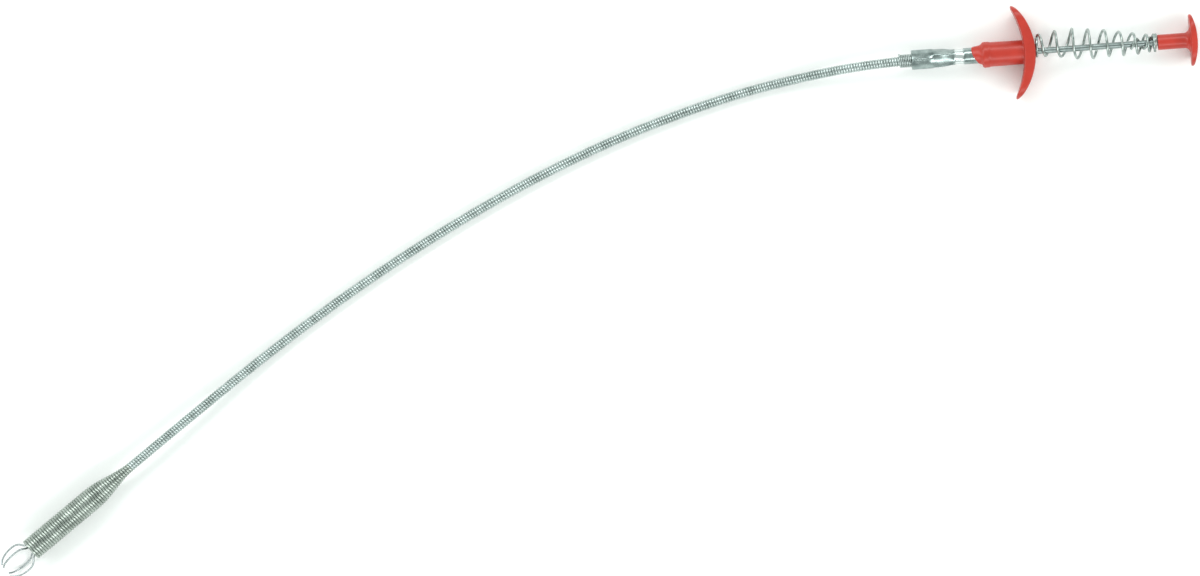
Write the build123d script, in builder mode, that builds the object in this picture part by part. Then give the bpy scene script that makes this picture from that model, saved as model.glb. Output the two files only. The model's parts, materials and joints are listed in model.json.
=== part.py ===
from build123d import *
import os
from math import cos, pi, radians, sin, tan

# Drain auger: a long wire hose with a thumb plunger at one end and four sprung claws at the other.
# It lies on the flat sides of its finger grip and thumb button. +Z is up, and +X runs along the handle
# to the button. The origin is on the table, under the finger wings.

os.makedirs("parts", exist_ok=True)

# ---- Driving dimensions, in millimetres ----

# Finger grip: two swept wings on a barrel, as deep as the button, so that the spring clears the table
grip_span = 42.6
grip_depth = 15.0
wing_front = 1.8
wing_root = 5.0
wing_tip = 2.0
wing_sweep = 8.7
wing_corner = 5.5
barrel_r = 5.45
barrel_length = 18.8
collar_r = 5.85
collar_length = 3.0
nose_length = 5.2
nose_r = 4.2

# Crimped ferrule that joins the grip to the hose
ferrule_r = 4.4
ferrule_tail_r = 3.7
ferrule_length = 37.2
ferrule_wall = 0.8
ferrule_socket = 10.0
groove_width = 3.0
groove_depth = 0.3
groove_from_nose = 6.5

# Thumb plunger
rod_r = 1.4
rod_bore_r = 0.85
rod_in_button = 10.0
stop_r = 2.3
stop_length = 3.0
stroke = 22.0

# Return spring, wound as a barrel
spring_length = 55.7
spring_wire_r = 0.6
spring_end_r = 4.9
spring_mid_r = 6.6
spring_turns = 8.5

# Thumb button: an oblong domed plate on a round stem
button_stem_r = 3.5
button_stem_length = 14.5
button_flare_r = 2.2
button_width = 23.6
button_plate = 2.3
button_edge = 1.7
button_dome = 1.7

# Hose: close-wound wire
wire = 1.2
shaft_r = 2.25
wrap_length = 17.2
mouth_r = 5.35
mouth_length = 36.7
mouth_taper = 22.0

# Inner cable, and the sleeve that holds the claws on it
cable_r = 0.75
sleeve_r = 1.7
sleeve_length = 10.0
sleeve_crimp = 7.0

# Claws: four bent wires, hinged where they leave the sleeve
claw_count = 4
claw_turn = 28.0
claw_wire_r = 0.45
claw_root_r = 1.0
claw_reach = 34.0

# Clearances
running = 0.05
seated = 0.03
apart = 0.2

# ---- Places worked out from them ----

axis_z = grip_depth / 2
handle = Plane.XY.offset(axis_z)
handle_axis = Axis((0, 0, axis_z), (1, 0, 0))

seat_x = wing_front
barrel_end_x = seat_x - wing_root - barrel_length
nose_x = barrel_end_x - nose_length
ferrule_tail_x = nose_x + ferrule_socket
ferrule_end_x = ferrule_tail_x - ferrule_length
stop_x = ferrule_tail_x - running
rod_end_x = stop_x - stop_length
shaft_start_x = rod_end_x - stroke - 0.8
button_x = seat_x + spring_length
plate_x = button_x + button_stem_length

# The hose's way over the table, from inside the ferrule to the mouth's taper. It leaves level, comes
# down until it lies on the table, and rises to the mouth, which the claws hold off the table.
lying_z = shaft_r + 0.05
mouth_z = 7.0
route = [
    (shaft_start_x, 0, axis_z),
    (-72, 0, axis_z),
    (-117, -6, lying_z),
    (-151, -13.8, lying_z),
    (-190, -25.7, lying_z),
    (-231, -42.1, lying_z),
    (-271.5, -61.8, lying_z),
    (-311.5, -84.1, lying_z),
    (-354, -111, lying_z),
    (-398, -142.2, mouth_z),
    (-421.5, -159.1, mouth_z),
]


def bend_radii(points):
    """The largest arc that the two runs beside each point allow."""
    corners = [Vector(*point) for point in points]
    radii = []
    for before, here, after in zip(corners, corners[1:], corners[2:]):
        run = min((here - before).length, (after - here).length)
        turn = (here - before).get_angle(after - here)
        radii.append(0.45 * run / tan(radians(turn) / 2))
    return radii


route_radii = bend_radii(route)
mouth_dir = (Vector(*route[-1]) - Vector(*route[-2])).normalized()
mouth_end = Vector(*route[-1]) + mouth_dir * (mouth_length + mouth_taper)
mouth = Plane(origin=mouth_end, x_dir=mouth_dir, z_dir=(0, 0, 1))
mouth_axis = Axis(mouth_end, mouth_dir)
claw_root_x = -claw_reach
sleeve_x = claw_root_x - apart


def along_mouth(distance):
    """The point on the mouth's axis that far out of its open end."""
    return mouth_end + mouth_dir * distance


# ---- Handle ----

# Finger grip: wings are a flat-sided crescent with rounded ends, and the barrel and nose are turned.
wing_tip_x = seat_x - wing_sweep - wing_tip
with BuildPart() as finger_grip:
    with BuildSketch() as crescent:
        with BuildLine():
            ThreePointArc(
                (wing_tip_x + wing_tip, grip_span / 2),
                (seat_x, 0),
                (wing_tip_x + wing_tip, -grip_span / 2),
            )
            Line((wing_tip_x + wing_tip, -grip_span / 2), (wing_tip_x, -grip_span / 2))
            ThreePointArc(
                (wing_tip_x, -grip_span / 2),
                (seat_x - wing_root, 0),
                (wing_tip_x, grip_span / 2),
            )
            Line((wing_tip_x, grip_span / 2), (wing_tip_x + wing_tip, grip_span / 2))
        make_face()
        fillet(crescent.vertices(), wing_tip * 0.3)
    extrude(amount=grip_depth)
    with BuildSketch(Plane.YZ.offset(-grip_span)):
        with Locations((0, axis_z)):
            RectangleRounded(grip_span, grip_depth, wing_corner)
    extrude(amount=2 * grip_span, mode=Mode.INTERSECT)
    with BuildSketch(handle):
        with BuildLine():
            Polyline(
                (0, 0),
                (0, barrel_r),
                (barrel_end_x + collar_length, barrel_r + 0.15),
                (barrel_end_x + collar_length - 0.4, collar_r),
                (barrel_end_x, collar_r),
                (nose_x, nose_r),
                (nose_x, 0),
                close=True,
            )
        make_face()
    revolve(axis=handle_axis)
    with BuildSketch(handle):
        with BuildLine():
            Polyline(
                (seat_x + 1, 0),
                (seat_x + 1, rod_r + running),
                (ferrule_tail_x, rod_r + running),
                (ferrule_tail_x, ferrule_tail_r + seated),
                (nose_x - 1, ferrule_tail_r + seated),
                (nose_x - 1, 0),
                close=True,
            )
        make_face()
    revolve(axis=handle_axis, mode=Mode.SUBTRACT)
finger_grip.part.label = "finger_grip"
export_step(finger_grip.part, "parts/finger_grip.step")

# Ferrule: wide where it grips the wrapped end of the hose, with a rolled groove, narrow in the grip
groove_x = nose_x - groove_from_nose
shoulder_x = groove_x - 2 * groove_width
wrap_r = shaft_r + running + wire * 0.65
with BuildPart() as ferrule_tube:
    with BuildSketch(handle):
        with BuildLine():
            Polyline(
                (ferrule_end_x, ferrule_r - ferrule_wall),
                (ferrule_end_x, ferrule_r),
                (shoulder_x, ferrule_r),
                (groove_x - groove_width / 2, ferrule_tail_r + groove_depth),
                (groove_x - groove_width / 4, ferrule_tail_r - groove_depth),
                (groove_x + groove_width / 4, ferrule_tail_r - groove_depth),
                (groove_x + groove_width / 2, ferrule_tail_r),
                (ferrule_tail_x, ferrule_tail_r),
                (ferrule_tail_x, ferrule_tail_r - ferrule_wall),
                (groove_x + groove_width, ferrule_tail_r - ferrule_wall),
                (groove_x, stop_r + apart),
                (shaft_start_x + running, stop_r + apart),
                (shaft_start_x + running, wrap_r + seated),
                (ferrule_end_x + groove_width, wrap_r + seated),
                close=True,
            )
        make_face()
    revolve(axis=handle_axis)
ferrule_tube.part.label = "ferrule_tube"
export_step(ferrule_tube.part, "parts/ferrule_tube.step")

# Thumb button: a flat-sided domed plate, cut to an oblong, on a stem that flares into it
plate_edge_x = plate_x + button_edge
with BuildPart() as thumb_button:
    with BuildSketch():
        with BuildLine():
            Polyline(
                (plate_edge_x, button_width / 2),
                (plate_x, button_width / 2),
                (plate_x - button_plate + button_edge, 0),
                (plate_x, -button_width / 2),
                (plate_edge_x, -button_width / 2),
            )
            ThreePointArc(
                (plate_edge_x, -button_width / 2),
                (plate_edge_x + button_dome, 0),
                (plate_edge_x, button_width / 2),
            )
        make_face()
    extrude(amount=grip_depth)
    with BuildSketch(Plane.YZ.offset(button_x)):
        with Locations((0, axis_z)):
            SlotOverall(button_width, grip_depth)
    extrude(amount=2 * button_stem_length, mode=Mode.INTERSECT)
    with BuildSketch(handle):
        with BuildLine():
            flare_x = plate_x - button_flare_r
            Polyline(
                (flare_x, button_stem_r),
                (button_x, button_stem_r),
                (button_x, 0),
                (plate_edge_x, 0),
                (plate_edge_x, button_stem_r + button_flare_r),
                (plate_x, button_stem_r + button_flare_r),
            )
            RadiusArc(
                (plate_x, button_stem_r + button_flare_r),
                (flare_x, button_stem_r),
                -button_flare_r,
            )
        make_face()
    revolve(axis=handle_axis)
    with BuildSketch(Plane.YZ.offset(button_x)):
        with Locations((0, axis_z)):
            Circle(rod_r + seated)
    extrude(amount=rod_in_button + running, mode=Mode.SUBTRACT)
thumb_button.part.label = "thumb_button"
export_step(thumb_button.part, "parts/thumb_button.step")

# Plunger rod: a tube from the button through the grip
with BuildPart() as plunger_rod:
    with BuildSketch(Plane.YZ.offset(rod_end_x)):
        with Locations((0, axis_z)):
            Circle(rod_r)
            Circle(rod_bore_r, mode=Mode.SUBTRACT)
    extrude(amount=button_x + rod_in_button - rod_end_x)
plunger_rod.part.label = "plunger_rod"
export_step(plunger_rod.part, "parts/plunger_rod.step")

# Crimped collar on the rod's inner end: it locks the cable in the rod and stops the rod at the grip
with BuildPart() as cable_crimp:
    with BuildSketch(Plane.YZ.offset(rod_end_x)):
        with Locations((0, axis_z)):
            Circle(stop_r)
            Circle(rod_r + seated, mode=Mode.SUBTRACT)
    extrude(amount=stop_length)
cable_crimp.part.label = "cable_crimp"
export_step(cable_crimp.part, "parts/cable_crimp.step")

# Return spring: a helix whose radius swells in the middle, one smooth wire between grip and button
spring_start_x = seat_x + spring_wire_r + running
spring_run = spring_length - 2 * (spring_wire_r + running)
points_per_turn = 10
spring_points = []
for step in range(int(spring_turns * points_per_turn) + 1):
    share = step / (spring_turns * points_per_turn)
    around = 2 * pi * spring_turns * share
    coil_r = spring_end_r + (spring_mid_r - spring_end_r) * sin(pi * share)
    spring_points.append(
        (
            spring_start_x + spring_run * share,
            coil_r * cos(around),
            axis_z + coil_r * sin(around),
        )
    )
with BuildPart() as return_spring:
    with BuildLine() as spring_line:
        Spline(*spring_points)
    with BuildSketch(Plane(origin=spring_line.line @ 0, z_dir=spring_line.line % 0)):
        Circle(spring_wire_r)
    sweep(path=spring_line.line, is_frenet=True)
return_spring.part.label = "return_spring"
export_step(return_spring.part, "parts/return_spring.step")

# ---- Hose ----

# Flexible shaft: the close-wound wire as a plain tube of its outer and inner size
with BuildPart() as flexible_shaft:
    with BuildLine() as shaft_line:
        FilletPolyline(*route, radius=route_radii)
    with BuildSketch(Plane.YZ.offset(shaft_start_x)):
        with Locations((0, axis_z)):
            Circle(shaft_r)
            Circle(shaft_r - wire, mode=Mode.SUBTRACT)
    sweep(path=shaft_line.line)
flexible_shaft.part.label = "flexible_shaft"
export_step(flexible_shaft.part, "parts/flexible_shaft.step")
print("bend radii", [round(radius) for radius in route_radii])
shaft_length = sum(edge.length for edge in shaft_line.edges())
shaft_section = pi * (shaft_r**2 - (shaft_r - wire) ** 2)
print("hose length", round(shaft_length, 1))
print("hose volume over section times length", round(flexible_shaft.part.volume / shaft_section / shaft_length, 4))

# Packing wire wound round the end of the hose, where the ferrule grips it
with BuildPart() as shaft_end_wrap:
    with BuildSketch(Plane.YZ.offset(shaft_start_x)):
        with Locations((0, axis_z)):
            Circle(wrap_r)
            Circle(shaft_r + running, mode=Mode.SUBTRACT)
    extrude(amount=-wrap_length)
shaft_end_wrap.part.label = "shaft_end_wrap"
export_step(shaft_end_wrap.part, "parts/shaft_end_wrap.step")

# Mouth: the same wire wound wider, with a smooth taper down to the hose
taper_x = -mouth_length
shaft_x = -mouth_length - mouth_taper
ease = mouth_taper / 2
with BuildPart() as mouth_coil:
    with BuildSketch(mouth):
        with BuildLine():
            Line((0, mouth_r - wire), (0, mouth_r))
            Line((0, mouth_r), (taper_x, mouth_r))
            Bezier((taper_x, mouth_r), (taper_x - ease, mouth_r), (shaft_x + ease, shaft_r), (shaft_x, shaft_r))
            Line((shaft_x, shaft_r), (shaft_x, shaft_r - wire))
            Bezier(
                (shaft_x, shaft_r - wire),
                (shaft_x + ease, shaft_r - wire),
                (taper_x - ease, mouth_r - wire),
                (taper_x, mouth_r - wire),
            )
            Line((taper_x, mouth_r - wire), (0, mouth_r - wire))
        make_face()
    revolve(axis=mouth_axis)
mouth_coil.part.label = "mouth_coil"
export_step(mouth_coil.part, "parts/mouth_coil.step")

# ---- Inner cable: it slides through the hose, so it is cut where each end stretch would leave it ----

# Handle end: fixed in the rod. Pressed in, it comes up to the still run.
cable_run_x = shaft_start_x - 2
with BuildPart() as cable_handle_end:
    with BuildSketch(Plane.YZ.offset(cable_run_x + stroke + apart)):
        with Locations((0, axis_z)):
            Circle(cable_r)
    extrude(amount=rod_in_button)
cable_handle_end.part.label = "cable_handle_end"
export_step(cable_handle_end.part, "parts/cable_handle_end.step")

# Claw end: fixed in the sleeve. At rest it comes up to the still run.
cable_tail = 28.0
sleeve_back_x = sleeve_x - sleeve_length
with BuildPart() as cable_claw_end:
    with BuildSketch(Plane(origin=along_mouth(sleeve_x - sleeve_length + sleeve_crimp - seated), z_dir=mouth_dir)):
        Circle(cable_r)
    extrude(amount=-cable_tail)
cable_claw_end.part.label = "cable_claw_end"
export_step(cable_claw_end.part, "parts/cable_claw_end.step")

# Still run: the length between them, along the hose's own arcs
cable_stop = along_mouth(sleeve_x - sleeve_length + sleeve_crimp - seated - cable_tail - apart)
cable_route = [(cable_run_x, 0, axis_z), *route[1:-1], cable_stop]
with BuildPart() as cable_run:
    with BuildLine() as cable_line:
        FilletPolyline(*cable_route, radius=route_radii)
    with BuildSketch(Plane.YZ.offset(cable_run_x)):
        with Locations((0, axis_z)):
            Circle(cable_r)
    sweep(path=cable_line.line)
cable_run.part.label = "cable_run"
export_step(cable_run.part, "parts/cable_run.step")

# ---- Claws ----

# Sleeve crimped on the cable, closed at the front where the four wires leave it
with BuildPart() as claw_sleeve:
    with BuildSketch(Plane(origin=along_mouth(sleeve_back_x), z_dir=mouth_dir)):
        Circle(sleeve_r)
    extrude(amount=sleeve_length)
    with BuildSketch(Plane(origin=along_mouth(sleeve_back_x), z_dir=mouth_dir)):
        Circle(cable_r + seated)
    extrude(amount=sleeve_crimp, mode=Mode.SUBTRACT)
claw_sleeve.part.label = "claw_sleeve"
export_step(claw_sleeve.part, "parts/claw_sleeve.step")

# Each claw lies along the mouth, steps out over its rim, bows wide and hooks in at the tip.
rim_inside = mouth_r - wire - claw_wire_r - apart
claw_bends = [
    (claw_root_x, claw_root_r),
    (-10.0, claw_root_r + 0.15),
    (0.2, rim_inside),
    (2.2, mouth_r + 1.2),
    (5.5, mouth_r + 2.2),
    (10.5, mouth_r + 1.8),
    (14.2, mouth_r),
    (15.2, mouth_r - 1.6),
]
claw_radii = [12.0, 1.5, 2.2, 4.0, 4.0, 1.5]


def claw_plane(number):
    """The plane that one claw is bent in: x out of the mouth, y away from the mouth's axis."""
    turn = radians(claw_turn + number * 360 / claw_count)
    outward = mouth.y_dir * cos(turn) + Vector(0, 0, 1) * sin(turn)
    return Plane(origin=mouth_end, x_dir=mouth_dir, z_dir=mouth_dir.cross(outward))


for number in range(claw_count):
    claw_name = f"claw_{number + 1}"
    with BuildPart() as claw:
        with BuildLine(claw_plane(number)) as claw_line:
            FilletPolyline(*claw_bends, radius=claw_radii)
        with BuildSketch(Plane(origin=claw_line.line @ 0, z_dir=claw_line.line % 0)):
            Circle(claw_wire_r)
        sweep(path=claw_line.line)
    claw.part.label = claw_name
    export_step(claw.part, f"parts/{claw_name}.step")
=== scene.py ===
# %% [markdown]
# # A flexible claw drain auger
# The tool is a long hose of close-wound wire. One end has a thumb plunger in a red moulded grip, and the
# other has a wide wound mouth with four sprung claws. The CAD model is loaded first. It fixes every size,
# place and joint, and everything below is built around it, in metres.

import json
from math import cos, pi, radians, sin, sqrt

import bmesh
import bpy
from mathutils import Matrix, Vector


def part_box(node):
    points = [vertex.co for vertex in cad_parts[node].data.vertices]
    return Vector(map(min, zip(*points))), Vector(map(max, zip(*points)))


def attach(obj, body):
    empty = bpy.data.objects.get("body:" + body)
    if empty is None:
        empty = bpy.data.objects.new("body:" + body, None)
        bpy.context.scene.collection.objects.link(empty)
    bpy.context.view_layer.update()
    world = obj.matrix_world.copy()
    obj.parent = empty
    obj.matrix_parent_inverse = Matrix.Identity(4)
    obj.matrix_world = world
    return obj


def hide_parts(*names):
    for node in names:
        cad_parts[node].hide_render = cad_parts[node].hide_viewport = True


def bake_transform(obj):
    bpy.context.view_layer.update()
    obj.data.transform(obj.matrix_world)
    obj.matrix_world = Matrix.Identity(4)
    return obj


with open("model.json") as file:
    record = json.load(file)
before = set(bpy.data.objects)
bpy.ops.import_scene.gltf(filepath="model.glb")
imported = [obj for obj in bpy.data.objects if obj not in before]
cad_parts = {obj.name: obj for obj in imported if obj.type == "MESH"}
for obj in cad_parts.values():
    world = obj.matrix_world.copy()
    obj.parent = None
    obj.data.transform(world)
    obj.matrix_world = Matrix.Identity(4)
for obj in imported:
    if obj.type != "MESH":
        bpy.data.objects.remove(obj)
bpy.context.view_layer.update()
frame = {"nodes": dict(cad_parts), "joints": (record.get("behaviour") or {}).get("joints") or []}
scene = bpy.context.scene
scene.view_settings.view_transform = "Standard"
MM = 0.001

# %% [markdown]
# ## Places on the handle
# The handle is straight, so its pieces share one axis, which is level with the middle of the grip. Where
# each piece starts and ends is read from the boxes of the CAD nodes, so nothing is measured twice.

# %% Read the handle's places
grip_low, grip_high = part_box("finger_grip")
ferrule_low, ferrule_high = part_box("ferrule_tube")
button_low, button_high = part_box("thumb_button")
AXIS_Z = (grip_low.z + grip_high.z) / 2
SEAT_X = grip_high.x
NOSE_X = grip_low.x
HALF_SPAN = (grip_high.y - grip_low.y) / 2
HALF_DEPTH = (grip_high.z - grip_low.z) / 2
print("handle axis height in mm:", round(AXIS_Z / MM, 2))

# %% [markdown]
# ## Camera
# A long thin tool that lies on a table shows its shape best from straight above. A long lens on a camera
# five metres away sees the handle square on, although it is far from the middle of the view. The camera
# is turned a few degrees, so that the handle rises a little towards the button.

# %% Camera straight above the tool
CAMERA_HEIGHT = 5.0
CAMERA_TURN = radians(-4.1)
VIEW_WIDTH = 0.5442
VIEW_CENTRE = Vector((-0.2027, -0.0930, AXIS_Z))
camera_data = bpy.data.cameras.new("camera")
camera_data.sensor_width = 36.0
camera_data.lens = camera_data.sensor_width * CAMERA_HEIGHT / VIEW_WIDTH
camera_data.clip_end = 50.0
camera = bpy.data.objects.new("camera", camera_data)
camera.location = VIEW_CENTRE + Vector((0, 0, CAMERA_HEIGHT))
camera.rotation_euler = (0, 0, CAMERA_TURN)
scene.collection.objects.link(camera)
scene.camera = camera
print("lens in mm:", round(camera_data.lens, 1))

# %% [markdown]
# ## Table and light
# Plated steel shows what is around it. A pale table and a grey room give it its cool mid tones, and long
# soft boxes on both sides give the bright lines that run along the wound hose. Nothing bright hangs
# straight above, so that flat faces that look up keep their own colour.


# %% Table, room and soft boxes
def srgb(code):
    """An sRGB hex colour as linear red, green, blue and alpha."""
    parts = [int(code[i : i + 2], 16) / 255 for i in (1, 3, 5)]
    return [c / 12.92 if c <= 0.04045 else ((c + 0.055) / 1.055) ** 2.4 for c in parts] + [1.0]


def add_node(tree, kind, inputs=None, **settings):
    """Adds one node. inputs gives a value, or another node's output, to each socket by name or number."""
    node = tree.nodes.new(kind)
    for name, value in settings.items():
        setattr(node, name, value)
    for key, value in (inputs or {}).items():
        if isinstance(value, bpy.types.NodeSocket):
            tree.links.new(value, node.inputs[key])
        else:
            node.inputs[key].default_value = value
    return node


HOSE_DIRECTION = Vector((0.9, 0.43, 0.0))
HOSE_MIDDLE = (-0.25, -0.05, 0)


def soft_box(name, place, aim, size, watts):
    """A rectangular soft light at place, facing aim, with its long side along the hose."""
    data = bpy.data.lights.new(name, "AREA")
    data.shape = "RECTANGLE"
    data.size, data.size_y = size
    data.energy = watts
    light = bpy.data.objects.new(name, data)
    light.location = place
    facing = (Vector(place) - Vector(aim)).normalized()
    along = (HOSE_DIRECTION - facing * HOSE_DIRECTION.dot(facing)).normalized()
    turn = Matrix((along, facing.cross(along), facing)).transposed().to_4x4()
    light.matrix_world = Matrix.Translation(place) @ turn
    scene.collection.objects.link(light)
    return light


world = bpy.data.worlds.new("studio")
world.use_nodes = True
room = world.node_tree.nodes["Background"]
room.inputs["Color"].default_value = srgb("#CBD3D0")
room.inputs["Strength"].default_value = 1.02
scene.world = world
soft_box("upper_strip", (-0.65, 0.85, 1.0), HOSE_MIDDLE, (5.0, 0.36), 28)
soft_box("lower_strip", (0.15, -1.0, 1.0), HOSE_MIDDLE, (5.0, 0.32), 24)
# The table is a hair below the tool, so that the two never share a plane.
bpy.ops.mesh.primitive_plane_add(size=6.0, location=(-0.2, -0.1, -0.1 * MM))
table = bpy.context.object
table.name = "table"
# White card: matt, almost white, and without a pattern that would draw the eye from the tool.
card = bpy.data.materials.new("white card")
card.use_nodes = True
card_shader = card.node_tree.nodes["Principled BSDF"]
card_shader.inputs["Base Color"].default_value = srgb("#FAFBFA")
card_shader.inputs["Roughness"].default_value = 0.9
table.data.materials.append(card)

# %% [markdown]
# ## Finishes
# Each finish starts as a Principled shader with the usual values of the real material, and gets its
# uneven look from noise in Object coordinates, whose scale is worked out from a size in millimetres.


# %% A finish from two tones, a roughness range and a surface grain
def finish(name, light, dark, patch_mm, rough, grain_mm, bump, metal=0.0, ior=1.5, painted_highlight_band=None):
    """Two colour tones in patches, roughness that varies with them, and a fine grain in the surface.

    The last argument is (x in metres, half width in mm, colour) of a ring round the handle where a painted
    highlight is mixed in: a bright colour in place of the light's reflection.
    """
    material = bpy.data.materials.new(name)
    material.use_nodes = True
    tree = material.node_tree
    tree.nodes.clear()
    place = add_node(tree, "ShaderNodeTexCoord").outputs["Object"]
    patches = add_node(
        tree,
        "ShaderNodeTexNoise",
        {"Vector": place, "Scale": 1 / (patch_mm * MM), "Detail": 4.0, "Roughness": 0.6},
    )
    tone = add_node(tree, "ShaderNodeValToRGB", {"Fac": patches.outputs["Fac"]})
    tone.color_ramp.elements[0].position = 0.35
    tone.color_ramp.elements[0].color = srgb(dark)
    tone.color_ramp.elements[1].position = 0.65
    tone.color_ramp.elements[1].color = srgb(light)
    colour = tone.outputs["Color"]
    # A painted highlight: a bright ring of colour round the handle at the given x, standing in for a
    # reflection of the light.
    if painted_highlight_band:
        x = add_node(tree, "ShaderNodeSeparateXYZ", {"Vector": place}).outputs["X"]
        beside = add_node(tree, "ShaderNodeMath", {0: x, 1: painted_highlight_band[0]}, operation="SUBTRACT").outputs[0]
        away = add_node(tree, "ShaderNodeMath", {0: beside}, operation="ABSOLUTE").outputs[0]
        painted_highlight_weight = add_node(
            tree,
            "ShaderNodeMapRange",
            {
                "Value": away,
                "From Min": painted_highlight_band[1] * 0.6 * MM,
                "From Max": painted_highlight_band[1] * MM,
                "To Min": 1.0,
                "To Max": 0.0,
            },
        ).outputs["Result"]
        # In a colour mix, socket 0 is the factor, 6 and 7 are the two colours, and output 2 is the result.
        mixed = add_node(tree, "ShaderNodeMix", {0: painted_highlight_weight, 6: colour, 7: srgb(painted_highlight_band[2])}, data_type="RGBA")
        colour = mixed.outputs[2]
    gloss = add_node(
        tree,
        "ShaderNodeMapRange",
        {"Value": patches.outputs["Fac"], "To Min": rough[0], "To Max": rough[1]},
    )
    grain = add_node(
        tree, "ShaderNodeTexNoise", {"Vector": place, "Scale": 1 / (grain_mm * MM), "Detail": 3.0}
    )
    relief = add_node(
        tree,
        "ShaderNodeBump",
        {"Height": grain.outputs["Fac"], "Strength": bump, "Distance": 0.05 * MM},
    )
    shader = add_node(
        tree,
        "ShaderNodeBsdfPrincipled",
        {
            "Base Color": colour,
            "Roughness": gloss.outputs["Result"],
            "Normal": relief.outputs["Normal"],
            "Metallic": metal,
        },
    )
    if metal == 0.0:
        shader.inputs["IOR"].default_value = ior
    output = add_node(tree, "ShaderNodeOutputMaterial")
    tree.links.new(shader.outputs["BSDF"], output.inputs["Surface"])
    return material


# %% The finishes of this tool
# Moulded polypropylene, dyed red: an even body colour, a soft gloss and a faint flow grain.
red_plastic = finish("moulded red polypropylene", "#B73123", "#A92A1C", 9.0, (0.3, 0.42), 0.5, 0.12, ior=1.49)
# Drawn spring wire with bright zinc plating: cool grey, slightly green, with dull patches.
hose_wire = finish("zinc plated drawn wire", "#C0CBC9", "#9DA8A5", 5.0, (0.3, 0.42), 0.3, 0.25, metal=1.0)
# The same wire at the mouth, where it rubs in the drain: duller and a little darker and warmer.
mouth_wire = finish("rubbed zinc plated wire", "#B5BEB7", "#919A93", 5.0, (0.28, 0.4), 0.3, 0.25, metal=1.0)
# The return spring's wire is plated after winding, so its patches are smaller and darker.
spring_wire = finish("zinc plated spring wire", "#B7C2BE", "#84908C", 2.5, (0.22, 0.36), 0.25, 0.3, metal=1.0)
# Rolled steel tube with bright zinc plating: nearly a mirror, with long faint clouds.
plated_tube = finish("bright zinc plated tube", "#A9B6B3", "#84918E", 4.0, (0.2, 0.32), 0.4, 0.3, metal=1.0)
# The ferrule is the same tube, a little darker, with a painted highlight: a bright ring of colour at the
# rolled groove, in place of the light's reflection.
GROOVE_X = NOSE_X - 5.6 * MM
ferrule_tube = finish(
    "pressed zinc plated tube with painted highlight ring",
    "#A3B0AE",
    "#7D8A88",
    4.0,
    (0.2, 0.32),
    0.4,
    0.3,
    metal=1.0,
    # The pale ring at the rolled groove is a painted highlight, not a mark on the metal.
    painted_highlight_band=(GROOVE_X, 2.4, "#DCE3E2"),
)
# The plunger rod is the same tube, rubbed dull where it slides through the grip.
rod_tube = finish("rubbed zinc plated tube", "#98A3A1", "#7C8886", 3.0, (0.3, 0.42), 0.35, 0.3, metal=1.0)
# Drawn spring steel for the claws: smooth and grey, with sharp bright lines along the wire.
claw_steel = finish("drawn spring steel", "#B0B7B7", "#8E9696", 3.0, (0.2, 0.3), 0.3, 0.15, metal=1.0)
# Galvanised strand cable, seen only where the tool is taken apart.
cable_steel = finish("galvanised cable strand", "#A7AEAC", "#707876", 0.8, (0.35, 0.5), 0.2, 0.5, metal=1.0)
print("finishes:", [m.name for m in bpy.data.materials])

# %% [markdown]
# ## Shared makers
# Most pieces are either a tube along a line of points or a stack of rings. Two short makers cover both.
# A third turns rings of any outline into a closed skin, and a fourth melts overlapping skins into one
# moulded body with small soft fillets, which is how the plastic pieces look.


# %% Mesh objects and ring skins
def make_object(name, vertices, faces, material, smooth=True):
    """A mesh object at the origin, from vertices in metres."""
    mesh = bpy.data.meshes.new(name)
    mesh.from_pydata([tuple(v) for v in vertices], [], faces)
    mesh.materials.append(material)
    mesh.polygons.foreach_set("use_smooth", [smooth] * len(mesh.polygons))
    mesh.update()
    made = bpy.data.objects.new(name, mesh)
    scene.collection.objects.link(made)
    return made


def skin(rings, closed=False):
    """Vertices and faces that join equal rings, capped at both ends, unless the rings close on themselves."""
    count = len(rings[0])
    vertices = [point for ring in rings for point in ring]
    faces = []
    pairs = len(rings) if closed else len(rings) - 1
    for i in range(pairs):
        a, b = i * count, (i + 1) % len(rings) * count
        for j in range(count):
            k = (j + 1) % count
            faces.append((a + j, a + k, b + k, b + j))
    if not closed:
        faces.append(tuple(reversed(range(count))))
        faces.append(tuple(range(len(vertices) - count, len(vertices))))
    return vertices, faces


def outward_faces(piece):
    """Points every face of a closed mesh outwards."""
    mesh = bmesh.new()
    mesh.from_mesh(piece.data)
    bmesh.ops.remove_doubles(mesh, verts=mesh.verts, dist=1e-7)
    bmesh.ops.recalc_face_normals(mesh, faces=mesh.faces)
    mesh.to_mesh(piece.data)
    mesh.free()


# %% A wire along a line of points
# A cut wire's end is not a half ball but a flatter dome. Each step is one ring of it.
END_STEPS = (0.12, 0.5, 0.82)
END_FLATNESS = 0.6


def tube_along(name, points, radius, material, sides=10):
    """A wire of that radius along points, with rounded ends."""
    last = len(points) - 1
    points = [Vector(p) for p in points]
    tangents = [(points[min(i + 1, last)] - points[max(i - 1, 0)]).normalized() for i in range(last + 1)]
    across = tangents[0].orthogonal().normalized()

    def ring(centre, side, tangent, size):
        other = tangent.cross(side)
        turns = [2 * pi * j / sides for j in range(sides)]
        return [centre + (side * cos(turn) + other * sin(turn)) * size for turn in turns]

    rings = []
    for step in END_STEPS:
        back = points[0] - tangents[0] * radius * (1 - step) * END_FLATNESS
        rings.append(ring(back, across, tangents[0], radius * sqrt(1 - (1 - step) ** 2)))
    for point, tangent in zip(points, tangents):
        across = (across - tangent * across.dot(tangent)).normalized()
        rings.append(ring(point, across, tangent, radius))
    for step in reversed(END_STEPS):
        ahead = points[-1] + tangents[-1] * radius * (1 - step) * END_FLATNESS
        rings.append(ring(ahead, across, tangents[-1], radius * sqrt(1 - (1 - step) ** 2)))
    made = make_object(name, *skin(rings), material)
    outward_faces(made)
    return made


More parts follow.
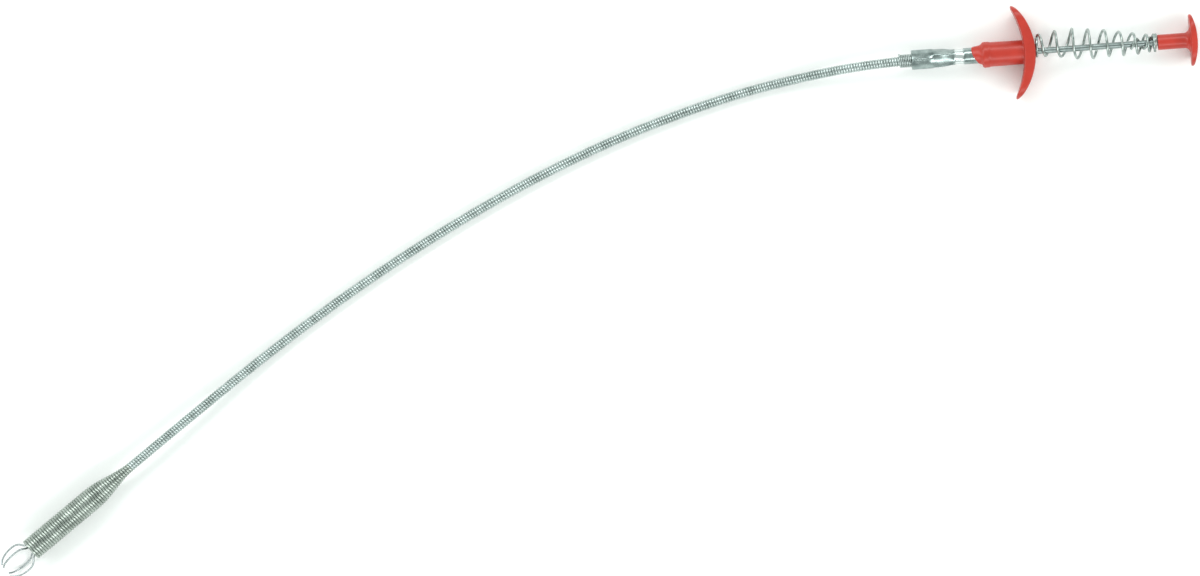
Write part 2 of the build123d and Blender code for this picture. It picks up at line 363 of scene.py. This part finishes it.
# %% Rings turned about the handle's axis
def turned(profile, sides=64, shape=None):
    """Rings about the handle's axis from (x, radius) pairs. shape may change a radius by x and angle."""
    rings = []
    for x, radius in profile:
        ring = []
        for j in range(sides):
            angle = 2 * pi * j / sides
            here_x, here_r = shape(x, radius, angle) if shape else (x, radius)
            ring.append(Vector((here_x, here_r * cos(angle), AXIS_Z + here_r * sin(angle))))
        rings.append(ring)
    return rings


# %% Melt skins into one moulding
def flat_mesh(piece):
    """The piece's mesh with its modifiers applied."""
    seen = piece.evaluated_get(bpy.context.evaluated_depsgraph_get())
    mesh = bpy.data.meshes.new_from_object(seen)
    piece.modifiers.clear()
    piece.data = mesh


def moulded(name, parts, material, voxel, bore):
    """Melts overlapping closed skins into one body, eases its edges as a mould does, and cuts its bore."""
    vertices, faces = [], []
    for part_vertices, part_faces in parts:
        start = len(vertices)
        vertices += part_vertices
        faces += [tuple(start + i for i in face) for face in part_faces]
    made = make_object(name, vertices, faces, material)
    outward_faces(made)
    remesh = made.modifiers.new("melt", "REMESH")
    remesh.mode = "VOXEL"
    remesh.voxel_size = voxel
    remesh.use_smooth_shade = True
    ease = made.modifiers.new("ease", "SMOOTH")
    ease.factor = 0.5
    ease.iterations = 3
    cutter = make_object(name + "_bore", *skin(turned(bore)), material)
    outward_faces(cutter)
    cut = made.modifiers.new("bore", "BOOLEAN")
    cut.operation = "DIFFERENCE"
    cut.solver = "MANIFOLD"
    cut.object = cutter
    flat_mesh(made)
    bpy.data.objects.remove(cutter)
    made.data.materials.clear()
    made.data.materials.append(material)
    return made


# %% [markdown]
# ## Hose route
# The hose lies in one gentle bow, flat on the table, and lifts a little at both ends. Its route is the
# same list of points that the CAD tube follows, used as control points of a smooth NURBS line.


# %% The route as a NURBS line
def smooth_line(name, points):
    """A NURBS curve object with points as its control points."""
    data = bpy.data.curves.new(name, "CURVE")
    data.dimensions = "3D"
    data.twist_mode = "Z_UP"
    data.resolution_u = 24
    spline = data.splines.new("NURBS")
    spline.points.add(len(points) - 1)
    for slot, point in zip(spline.points, points):
        slot.co = (*point, 1)
    spline.order_u = 3
    spline.use_endpoint_u = True
    made = bpy.data.objects.new(name, data)
    scene.collection.objects.link(made)
    return made


def read_points(line):
    """The points that a curve object's line passes through."""
    seen = line.evaluated_get(bpy.context.evaluated_depsgraph_get())
    mesh = bpy.data.meshes.new_from_object(seen)
    found = [v.co.copy() for v in mesh.vertices]
    bpy.data.meshes.remove(mesh)
    return found


def length_of(points):
    """The length of a line of points."""
    return sum((b - a).length for a, b in zip(points, points[1:]))


LYING_Z = 0.0023
MOUTH_Z = 0.007
# From inside the ferrule, level at first, then down on the table, and up again to the mouth.
route = [
    (-0.04305, 0, AXIS_Z),
    (-0.072, 0, AXIS_Z),
    (-0.117, -0.006, LYING_Z),
    (-0.151, -0.0138, LYING_Z),
    (-0.190, -0.0257, LYING_Z),
    (-0.231, -0.0421, LYING_Z),
    (-0.2715, -0.0618, LYING_Z),
    (-0.3115, -0.0841, LYING_Z),
    (-0.354, -0.111, LYING_Z),
    (-0.398, -0.1422, MOUTH_Z),
    (-0.4215, -0.1591, MOUTH_Z),
]
hose_line = smooth_line("hose_line", route)
hose_points = read_points(hose_line)
hose_length = length_of(hose_points)
print("hose length in mm:", round(hose_length / MM, 1))

# %% [markdown]
# ## Close-wound hose
# The hose is one spring wire wound turn against turn, hundreds of times. Modelling each ring by hand
# would be slow, so a Geometry Nodes tree winds it: it puts points along a line, moves each one out by
# the winding radius at an angle that grows with the distance, and runs a round wire through them. A
# second radius and a taper let the same tree wind the wide mouth.


# %% The winding tree
def winding_tree():
    """A node tree that winds a wire round a line, with a taper between two radii."""
    tree = bpy.data.node_groups.new("wound wire", "GeometryNodeTree")
    sockets = [
        ("Line", "NodeSocketObject"),
        ("Length", "NodeSocketFloat"),
        ("Pitch", "NodeSocketFloat"),
        ("Start Radius", "NodeSocketFloat"),
        ("End Radius", "NodeSocketFloat"),
        ("Taper Length", "NodeSocketFloat"),
        ("Start Turn", "NodeSocketFloat"),
        ("Wire Radius", "NodeSocketFloat"),
        ("Steps per Turn", "NodeSocketInt"),
        ("Sides", "NodeSocketInt"),
        ("Wire Finish", "NodeSocketMaterial"),
    ]
    for name, kind in sockets:
        tree.interface.new_socket(name, in_out="INPUT", socket_type=kind)
    tree.interface.new_socket("Geometry", in_out="OUTPUT", socket_type="NodeSocketGeometry")
    given = add_node(tree, "NodeGroupInput").outputs

    turns = add_node(
        tree, "ShaderNodeMath", {0: given["Length"], 1: given["Pitch"]}, operation="DIVIDE"
    ).outputs[0]
    wanted = add_node(
        tree, "ShaderNodeMath", {0: turns, 1: given["Steps per Turn"]}, operation="MULTIPLY"
    ).outputs[0]
    steps = add_node(tree, "ShaderNodeMath", {0: wanted}, operation="ROUND").outputs[0]
    count = add_node(tree, "ShaderNodeMath", {0: steps, 1: 1.0}, operation="ADD").outputs[0]
    points = add_node(tree, "GeometryNodeMeshLine", {"Count": count})
    wire_line = add_node(tree, "GeometryNodeMeshToCurve", {"Mesh": points.outputs["Mesh"]})
    index = add_node(tree, "GeometryNodeInputIndex").outputs["Index"]
    share = add_node(tree, "ShaderNodeMath", {0: index, 1: steps}, operation="DIVIDE").outputs[0]
    distance = add_node(
        tree, "ShaderNodeMath", {0: share, 1: given["Length"]}, operation="MULTIPLY"
    ).outputs[0]
    line = add_node(tree, "GeometryNodeObjectInfo", {"Object": given["Line"]})
    sample = add_node(
        tree,
        "GeometryNodeSampleCurve",
        {"Curves": line.outputs["Geometry"], "Length": distance},
        mode="LENGTH",
        use_all_curves=True,
    )
    radius = add_node(
        tree,
        "ShaderNodeMapRange",
        {
            "Value": distance,
            "From Min": 0.0,
            "From Max": given["Taper Length"],
            "To Min": given["Start Radius"],
            "To Max": given["End Radius"],
        },
        interpolation_type="SMOOTHSTEP",
    ).outputs["Result"]
    turn = add_node(
        tree, "ShaderNodeMath", {0: share, 1: turns, 2: given["Start Turn"]}, operation="MULTIPLY_ADD"
    ).outputs[0]
    angle = add_node(tree, "ShaderNodeMath", {0: turn, 1: 2 * pi}, operation="MULTIPLY").outputs[0]
    cosine = add_node(tree, "ShaderNodeMath", {0: angle}, operation="COSINE").outputs[0]
    sine = add_node(tree, "ShaderNodeMath", {0: angle}, operation="SINE").outputs[0]
    # The line's normal and a second direction square to it span the plane of the turn.
    side, tangent = sample.outputs["Normal"], sample.outputs["Tangent"]
    other = add_node(
        tree, "ShaderNodeVectorMath", {0: tangent, 1: side}, operation="CROSS_PRODUCT"
    ).outputs["Vector"]
    out_side = add_node(
        tree, "ShaderNodeVectorMath", {0: side, "Scale": cosine}, operation="SCALE"
    ).outputs["Vector"]
    direction = add_node(
        tree, "ShaderNodeVectorMath", {0: other, 1: sine, 2: out_side}, operation="MULTIPLY_ADD"
    ).outputs["Vector"]
    place = add_node(
        tree,
        "ShaderNodeVectorMath",
        {0: direction, 1: radius, 2: sample.outputs["Position"]},
        operation="MULTIPLY_ADD",
    ).outputs["Vector"]
    wound = add_node(
        tree, "GeometryNodeSetPosition", {"Geometry": wire_line.outputs["Curve"], "Position": place}
    )
    section = add_node(
        tree,
        "GeometryNodeCurvePrimitiveCircle",
        {"Resolution": given["Sides"], "Radius": given["Wire Radius"]},
    )
    wire = add_node(
        tree,
        "GeometryNodeCurveToMesh",
        {
            "Curve": wound.outputs["Geometry"],
            "Profile Curve": section.outputs["Curve"],
            "Fill Caps": True,
        },
    )
    real = add_node(tree, "GeometryNodeRealizeInstances", {"Geometry": wire.outputs["Mesh"]})
    finished = add_node(
        tree,
        "GeometryNodeSetMaterial",
        {"Geometry": real.outputs["Geometry"], "Material": given["Wire Finish"]},
    )
    output = add_node(tree, "NodeGroupOutput")
    tree.links.new(finished.outputs["Geometry"], output.inputs["Geometry"])
    return tree


def wind(name, tree, values):
    """A plain mesh object made by the winding tree with those inputs."""
    carrier = make_object(name, [(0, 0, 0)], [], values["Wire Finish"])
    modifier = carrier.modifiers.new("winding", "NODES")
    modifier.node_group = tree
    identifiers = {item.name: item.identifier for item in tree.interface.items_tree if item.in_out == "INPUT"}
    for key, value in values.items():
        modifier[identifiers[key]] = value
    flat_mesh(carrier)
    carrier.data.materials.clear()
    carrier.data.materials.append(values["Wire Finish"])
    outward_faces(carrier)
    # The wire is smooth all round, but its cut ends, which are the only faces with many corners, are flat.
    smooth = [len(face.vertices) == 4 for face in carrier.data.polygons]
    carrier.data.polygons.foreach_set("use_smooth", smooth)
    print(name, "faces:", len(carrier.data.polygons))
    return carrier


# %% Wind the hose
WIRE_R = 0.66 * MM
PITCH = 1.25 * MM
HOSE_R = 2.25 * MM
tree = winding_tree()
hose = wind(
    "hose",
    tree,
    {
        "Line": hose_line,
        "Length": hose_length,
        "Pitch": PITCH,
        "Start Radius": HOSE_R - WIRE_R,
        "End Radius": HOSE_R - WIRE_R,
        "Taper Length": 1.0,
        "Start Turn": 0.0,
        "Wire Radius": WIRE_R,
        "Steps per Turn": 16,
        "Sides": 8,
        "Wire Finish": hose_wire,
    },
)

# %% Wind the mouth
MOUTH_R = 5.35 * MM
MOUTH_STRAIGHT = 36.7 * MM
MOUTH_TAPER = 22.0 * MM
# The mouth's wire starts a quarter turn inside the hose's last turn, in step with it, so no joint shows.
OVERLAP = PITCH / 4
mouth_out = (Vector(route[-1]) - Vector(route[-2])).normalized()
mouth_start = Vector(route[-1]) - mouth_out * OVERLAP
mouth_end = Vector(route[-1]) + mouth_out * (MOUTH_STRAIGHT + MOUTH_TAPER)
mouth_line = smooth_line("mouth_line", [mouth_start, (mouth_start + mouth_end) / 2, mouth_end])
mouth = wind(
    "mouth",
    tree,
    {
        "Line": mouth_line,
        "Length": OVERLAP + MOUTH_STRAIGHT + MOUTH_TAPER - WIRE_R,
        "Pitch": PITCH,
        "Start Radius": HOSE_R - WIRE_R,
        "End Radius": MOUTH_R - WIRE_R,
        "Taper Length": MOUTH_TAPER,
        "Start Turn": (hose_length - OVERLAP) / PITCH % 1,
        "Wire Radius": WIRE_R,
        "Steps per Turn": 36,
        "Sides": 10,
        "Wire Finish": mouth_wire,
    },
)

# %% [markdown]
# ## Claws
# Four spring wires leave a crimped sleeve inside the mouth, run along its inside, step over the rim and
# bow out before their tips hook in. Each claw is bent in one plane, which is worked out from its CAD
# hinge, so the visible wire turns about the same point.


# %% Bend the four claws
CLAW_R = 0.45 * MM
# Each row: mm along the mouth from the claw's root, and mm outwards from it.
claw_bends = [
    (0.0, 0.0),
    (12.0, 0.05),
    (24.0, 0.15),
    (29.0, 1.3),
    (33.2, 2.25),
    (34.5, 2.75),
    (35.3, 4.0),
    (36.4, 5.4),
    (38.2, 6.2),
    (40.6, 6.35),
    (43.4, 5.9),
    (45.7, 5.0),
    (47.1, 3.9),
    (47.8, 2.7),
]
for joint in frame["joints"]:
    if joint["type"] != "hinge":
        continue
    root = Vector(joint["pos_m"])
    outward = Vector(joint["axis"]).cross(mouth_out).normalized()
    bends = [root + mouth_out * along * MM + outward * out * MM for along, out in claw_bends]
    line = smooth_line(joint["child"] + "_line", bends)
    claw = tube_along(joint["child"] + "_wire", read_points(line), CLAW_R, claw_steel, sides=12)
    bpy.data.objects.remove(line)
    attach(claw, joint["child"])
    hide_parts(joint["child"])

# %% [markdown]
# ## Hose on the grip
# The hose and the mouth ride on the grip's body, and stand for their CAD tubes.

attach(hose, "grip")
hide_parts("flexible_shaft")
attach(mouth, "grip")
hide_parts("mouth_coil")
bpy.data.objects.remove(hose_line)
bpy.data.objects.remove(mouth_line)

# %% [markdown]
# ## Packing coil
# Where the hose enters the ferrule, a thinner wire is wound round it to fill the ferrule's bore. The same
# tree winds it, along a short line beside the hose's end. A start radius a little too large, and a taper
# of a third of a turn, lift the wire's cut end off the hose.

# %% Wind the packing coil
PACKING_WIRE_R = 0.39 * MM
PACKING_PITCH = 0.8 * MM
PACKING_R = HOSE_R + 2 * PACKING_WIRE_R + 0.06 * MM
CUT_END_LIFT = 0.5 * MM
wrap_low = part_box("shaft_end_wrap")[0]
packing_outer = min(hose_points, key=lambda point: abs(point.x - wrap_low.x))
packing_inner = hose_points[0]
packing_middle = (packing_outer + packing_inner) / 2
packing_line = smooth_line("packing_line", [packing_outer, packing_middle, packing_inner])
packing = wind(
    "packing_coil",
    tree,
    {
        "Line": packing_line,
        "Length": (packing_inner - packing_outer).length,
        "Pitch": PACKING_PITCH,
        "Start Radius": PACKING_R - PACKING_WIRE_R + CUT_END_LIFT,
        "End Radius": PACKING_R - PACKING_WIRE_R,
        "Taper Length": PACKING_PITCH / 3,
        "Start Turn": 0.42,
        "Wire Radius": PACKING_WIRE_R,
        "Steps per Turn": 20,
        "Sides": 8,
        "Wire Finish": hose_wire,
    },
)
bpy.data.objects.remove(packing_line)
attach(packing, "grip")
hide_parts("shaft_end_wrap")

# %% [markdown]
# ## Return spring
# A barrel spring: its turns are small at both ends and wide in the middle, so they don't rub on the rod.
# It sits off centre on the grip's face and bows to one side, as such a long soft spring does, so its
# turns lean a little too. The last turns close up on the button's stem, and the wire's end runs back
# along the rod inside them. No two turns are alike, so the wire follows a table of marks, and not a rule.

# %% Wind the return spring
SPRING_R = 0.6 * MM
# Each row: turns from the grip, then in mm the place along the rod, the radius and the offset sideways,
# and then the turn's lean in plan and in height, as mm along the rod for each mm off the axis.
turn_marks = [
    (-0.9, 2.5, 4.5, 2.0, 0.0, 0.0),
    (-0.3, 2.6, 4.7, 2.4, 0.0, 0.0),
    (0.0, 3.5, 4.8, 2.6, 0.03, 0.0),
    (1.0, 10.4, 5.6, 2.8, 0.12, -0.1),
    (2.0, 18.1, 6.4, 2.6, 0.15, -0.14),
    (3.0, 25.2, 6.6, 1.6, 0.15, -0.08),
    (4.0, 32.5, 6.0, 1.3, 0.15, 0.0),
    (5.0, 39.3, 5.2, 0.8, 0.15, 0.06),
    (6.0, 45.6, 4.8, 0.1, 0.15, 0.06),
    (7.0, 51.9, 3.9, 0.0, 0.12, 0.0),
    (8.0, 55.4, 3.65, 0.0, 0.08, 0.0),
    (9.0, 56.6, 3.65, 0.0, 0.03, 0.0),
    (9.6, 55.8, 2.6, 0.0, 0.0, 0.0),
    (10.2, 53.0, 2.35, 0.0, 0.0, 0.0),
    (11.4, 45.4, 2.35, 0.0, 0.0, 0.0),
]


def between(marks, turn):
    """The values at a turn, eased smoothly through the marks beside it."""
    k = max(i for i in range(len(marks) - 1) if i == 0 or marks[i][0] <= turn)
    before, a = marks[max(k - 1, 0)], marks[k]
    b, after = marks[k + 1], marks[min(k + 2, len(marks) - 1)]
    run = b[0] - a[0]
    t = (turn - a[0]) / run
    values = []
    for i in range(1, len(a)):
        slope_a = (b[i] - before[i]) / (b[0] - before[0]) * run
        slope_b = (after[i] - a[i]) / (after[0] - a[0]) * run
        values.append(
            a[i] * (2 * t**3 - 3 * t**2 + 1)
            + slope_a * (t**3 - 2 * t**2 + t)
            + b[i] * (3 * t**2 - 2 * t**3)
            + slope_b * (t**3 - t**2)
        )
    return values


SPRING_STEPS = 32
first, last = turn_marks[0][0], turn_marks[-1][0]
spring_points = []
for step in range(round((last - first) * SPRING_STEPS) + 1):
    turn = first + step / SPRING_STEPS
    along, out, aside, lean_y, lean_z = between(turn_marks, turn)
    y, z = out * cos(2 * pi * turn), out * sin(2 * pi * turn)
    along += lean_y * y + lean_z * z
    spring_points.append((along * MM, (y + aside) * MM, AXIS_Z + z * MM))
spring = tube_along("return_spring_wire", spring_points, SPRING_R, spring_wire, sides=12)
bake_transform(spring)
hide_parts("return_spring")
print("spring points:", len(spring_points))

# %% [markdown]
# ## Crimped ferrule
# A thin plated tube is pressed on the hose's wrapped end with a jawed tool, which leaves two staggered
# rows of long dents with ridges between them, and a rolled groove locks it to the grip. The tube is one
# grid of points round the axis. Each radius is the plain tube's, less the dents, so the ridges branch by
# themselves where the two rows meet.

# %% Press the ferrule
FERRULE_R = 4.4 * MM
TAIL_R = 3.7 * MM
WALL = 0.8 * MM
GROOVE_HALF = 2.2 * MM
GROOVE_DEPTH = 0.4 * MM
DENTS = 4
DENT_SHARE = 0.9
crimp_rows = [
    # (middle of the row, half its length, turn of its first dent, depth)
    (ferrule_low.x + 4.2 * MM, 5.7 * MM, radians(47), 0.8 * MM),
    (ferrule_low.x + 14.4 * MM, 4.9 * MM, radians(25), 0.8 * MM),
]


def smooth_step(value, low, high):
    """0 below low, 1 above high, and eased between."""
    t = max(0.0, min(1.0, (value - low) / (high - low)))
    return t * t * (3 - 2 * t)


def ferrule_radius(x, angle):
    """The outer radius of the pressed tube."""
    narrow = smooth_step(x, GROOVE_X - 9 * MM, GROOVE_X - 2 * MM)
    radius = FERRULE_R + (TAIL_R - FERRULE_R) * narrow
    radius -= GROOVE_DEPTH * max(0.0, 1 - ((x - GROOVE_X) / GROOVE_HALF) ** 2) ** 0.5
    for middle, half, turn, depth in crimp_rows:
        along = max(0.0, 1 - ((x - middle) / half) ** 2)
        wave = (angle - turn) * DENTS / (2 * pi)
        aside = (wave - round(wave)) * 2
        across = max(0.0, 1 - (aside / DENT_SHARE) ** 2)
        # Powers under 1 make a dent's floor flat and its walls steep, as a jaw does.
        radius -= depth * along**0.6 * across**0.7
    return radius


FERRULE_RINGS, FERRULE_SIDES = 170, 144
LIP = 0.12 * MM


def ferrule_ring(x, thinner, least=0.0):
    """One ring of the tube, thinner than its outside by that much, but no nearer to the axis than least."""
    ring = []
    for j in range(FERRULE_SIDES):
        angle = 2 * pi * j / FERRULE_SIDES
        radius = max(least, ferrule_radius(x, angle) - thinner)
        ring.append(Vector((x, radius * cos(angle), AXIS_Z + radius * sin(angle))))
    return ring


# From the rounded lip along the outside, and back along the bore, which is pressed on the packing coil.
stations = [
    ferrule_low.x + (ferrule_high.x - ferrule_low.x) * i / FERRULE_RINGS for i in range(FERRULE_RINGS + 1)
]
rings = [ferrule_ring(stations[0], LIP), ferrule_ring(stations[0] + LIP, 0.0)]
rings += [ferrule_ring(x, 0.0) for x in stations[1:]]
rings += [ferrule_ring(x, WALL, PACKING_R) for x in reversed(stations)]
vertices, faces = skin(rings, closed=True)
ferrule = make_object("crimped_ferrule", vertices, faces, ferrule_tube)
outward_faces(ferrule)
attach(ferrule, "grip")
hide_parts("ferrule_tube")
print("ferrule faces:", len(ferrule.data.polygons))

# %% [markdown]
# ## Finger grip
# One moulding: two swept wings with a thin rounded edge, a slightly tapered barrel with a collar, and a
# short nose that the ferrule goes into. The wings are a skin of rounded sections along the span, the
# barrel and nose are turned, and the three are melted into one body, so that a small fillet runs round
# their joints.


# %% Rounded sections for the wings and the button's plate
def rounded_section(x_low, x_high, half_depth, y, corner, count=9):
    """A ring at y: a rectangle from x_low to x_high and of that half depth, with round corners."""
    corner = min(corner, (x_high - x_low) / 2 * 0.98, half_depth * 0.98)
    middles = [
        (x_high - corner, half_depth - corner, 0),
        (x_low + corner, half_depth - corner, 90),
        (x_low + corner, -half_depth + corner, 180),
        (x_high - corner, -half_depth + corner, 270),
    ]
    ring = []
    for x, z, start in middles:
        for k in range(count):
            angle = radians(start + 90 * k / (count - 1))
            ring.append(Vector((x + corner * cos(angle), y, AXIS_Z + z + corner * sin(angle))))
    return ring


def arc_x(middle_x, edge_x, half_span, y):
    """The x at y on the circle through (middle_x, 0) and (edge_x, half_span)."""
    drop = middle_x - edge_x
    radius = (half_span**2 + drop**2) / (2 * drop)
    return middle_x - radius + sqrt(radius**2 - y**2)


def swept_plate(half_span, half_depth, front, back, end_round, corner, edge):
    """Rings of a curved plate. front and back are (x in the middle, x at the ends)."""
    rings = []
    stations = 72
    for k in range(stations + 1):
        y = half_span * sin(pi * (k / stations - 0.5))
        x_high = arc_x(*front, half_span, y)
        x_low = arc_x(*back, half_span, y)
        near_end = max(0.0, abs(y) - (half_span - end_round)) / end_round
        depth = half_depth - end_round + end_round * sqrt(max(0.0, 1 - near_end**2))
        in_tip = max(0.0, abs(y) - (half_span - edge)) / edge
        thin = max(0.08, sqrt(max(0.0, 1 - in_tip**2)))
        middle, half = (x_low + x_high) / 2, (x_high - x_low) / 2 * thin
        rings.append(rounded_section(middle - half, middle + half, max(depth, 0.4 * MM), y, corner))
    return rings


# %% Mould the finger grip
WING_ROOT = 5.0 * MM
WING_TIP = 2.0 * MM
WING_SWEEP = 8.7 * MM
tip_x = SEAT_X - WING_SWEEP
wings = swept_plate(
    HALF_SPAN,
    HALF_DEPTH,
    front=(SEAT_X, tip_x),
    back=(SEAT_X - WING_ROOT, tip_x - WING_TIP),
    end_round=6.5 * MM,
    corner=0.7 * MM,
    edge=2.2 * MM,
)
BARREL_R = 5.45 * MM
COLLAR_R = 5.85 * MM
NOSE_LENGTH = 5.2 * MM
collar_x = NOSE_X + NOSE_LENGTH
NOSE_SLANT = 2.4 * MM
NOSE_FLATS = 6
ROD_R = 1.4 * MM


def nose_shape(x, radius, angle):
    """Cuts the nose's end aslant, and gives its cone six faint flats."""
    if x > collar_x - 0.3 * MM:
        return x, radius
    slant = NOSE_SLANT * (1 - cos(angle - radians(50))) * (collar_x - x) / NOSE_LENGTH
    flat = (angle / (2 * pi) * NOSE_FLATS + 0.5) % 1 - 0.5
    return x + slant, radius * (1 - 0.05 * (1 - (2 * flat) ** 2))


barrel_profile = [
    (SEAT_X - 1.2 * MM, 0.01 * MM),
    (SEAT_X - 1.2 * MM, BARREL_R),
    (collar_x + 3.4 * MM, BARREL_R + 0.15 * MM),
    (collar_x + 2.9 * MM, COLLAR_R - 0.1 * MM),
    (collar_x + 2.5 * MM, COLLAR_R),
    (collar_x + 0.4 * MM, COLLAR_R),
    (collar_x, COLLAR_R - 0.2 * MM),
    (collar_x - 1.7 * MM, TAIL_R + 1.0 * MM),
    (NOSE_X, TAIL_R + 0.5 * MM),
    (NOSE_X, 0.01 * MM),
]
# Each run of the profile is cut in six, so that the nose can change shape along it.
RUN_STEPS = 6
fine_profile = []
for (x_a, r_a), (x_b, r_b) in zip(barrel_profile, barrel_profile[1:]):
    for k in range(RUN_STEPS):
        share = k / RUN_STEPS
        fine_profile.append((x_a + (x_b - x_a) * share, r_a + (r_b - r_a) * share))
fine_profile.append(barrel_profile[-1])
barrel = turned(fine_profile, 72, nose_shape)
# The ferrule's socket and, past its end, the narrower hole that the rod slides in.
grip_bore = [
    (NOSE_X - 1.0 * MM, 0.01 * MM),
    (NOSE_X - 1.0 * MM, TAIL_R + 0.03 * MM),
    (ferrule_high.x, TAIL_R + 0.03 * MM),
    (ferrule_high.x, ROD_R + 0.1 * MM),
    (SEAT_X + 1.0 * MM, ROD_R + 0.1 * MM),
    (SEAT_X + 1.0 * MM, 0.01 * MM),
]
grip = moulded("moulded_grip", [skin(wings), skin(barrel)], red_plastic, 0.22 * MM, grip_bore)
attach(grip, "grip")
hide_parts("finger_grip")
print("grip faces:", len(grip.data.polygons))

# %% [markdown]
# ## Thumb button
# Also one moulding: an oblong plate with a gently domed face and a round stem that flares into its back.

# %% Mould the thumb button
STEM_R = 3.5 * MM
FLARE_R = 2.4 * MM
DOME = 2.1 * MM
PLATE_BACK = button_high.x - 3.4 * MM
plate = swept_plate(
    (button_high.y - button_low.y) / 2,
    HALF_DEPTH,
    front=(button_high.x, button_high.x - DOME),
    back=(PLATE_BACK + 0.5 * MM, PLATE_BACK),
    end_round=HALF_DEPTH,
    corner=0.6 * MM,
    edge=0.8 * MM,
)
stem_profile = [(button_low.x, 0.01 * MM), (button_low.x, STEM_R)]
FLARE_STEPS = 12
for k in range(FLARE_STEPS + 1):
    angle = radians(90 * k / FLARE_STEPS)
    stem_profile.append((PLATE_BACK - FLARE_R + FLARE_R * sin(angle), STEM_R + FLARE_R * (1 - cos(angle))))
# The stem's head is sunk in the plate, so that the two melt together.
stem_profile += [(PLATE_BACK + 1.0 * MM, STEM_R + FLARE_R), (PLATE_BACK + 1.0 * MM, 0.01 * MM)]
stem = turned(stem_profile, 64)
rod_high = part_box("plunger_rod")[1]
button_bore = [
    (button_low.x - 1.0 * MM, 0.01 * MM),
    (button_low.x - 1.0 * MM, ROD_R + 0.02 * MM),
    (rod_high.x + 0.05 * MM, ROD_R + 0.02 * MM),
    (rod_high.x + 0.05 * MM, 0.01 * MM),
]
button = moulded("moulded_button", [skin(plate), skin(stem)], red_plastic, 0.2 * MM, button_bore)
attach(button, "plunger")
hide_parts("thumb_button")
print("button faces:", len(button.data.polygons))

# %% [markdown]
# ## Plunger rod and the pieces inside
# The rod is a plain plated tube, and the cable, its crimp and the claws' sleeve are plain as well, so
# their CAD nodes stay and only get their finishes.

# %% Finish the CAD nodes that stay
for node, material in {
    "plunger_rod": rod_tube,
    "cable_crimp": plated_tube,
    "claw_sleeve": plated_tube,
    "cable_run": cable_steel,
    "cable_handle_end": cable_steel,
    "cable_claw_end": cable_steel,
}.items():
    held = frame["nodes"][node]
    held.data.materials.clear()
    held.data.materials.append(material)
    print(node, "is finished in", material.name)

# %% Update the scene and finish
bpy.context.view_layer.update()
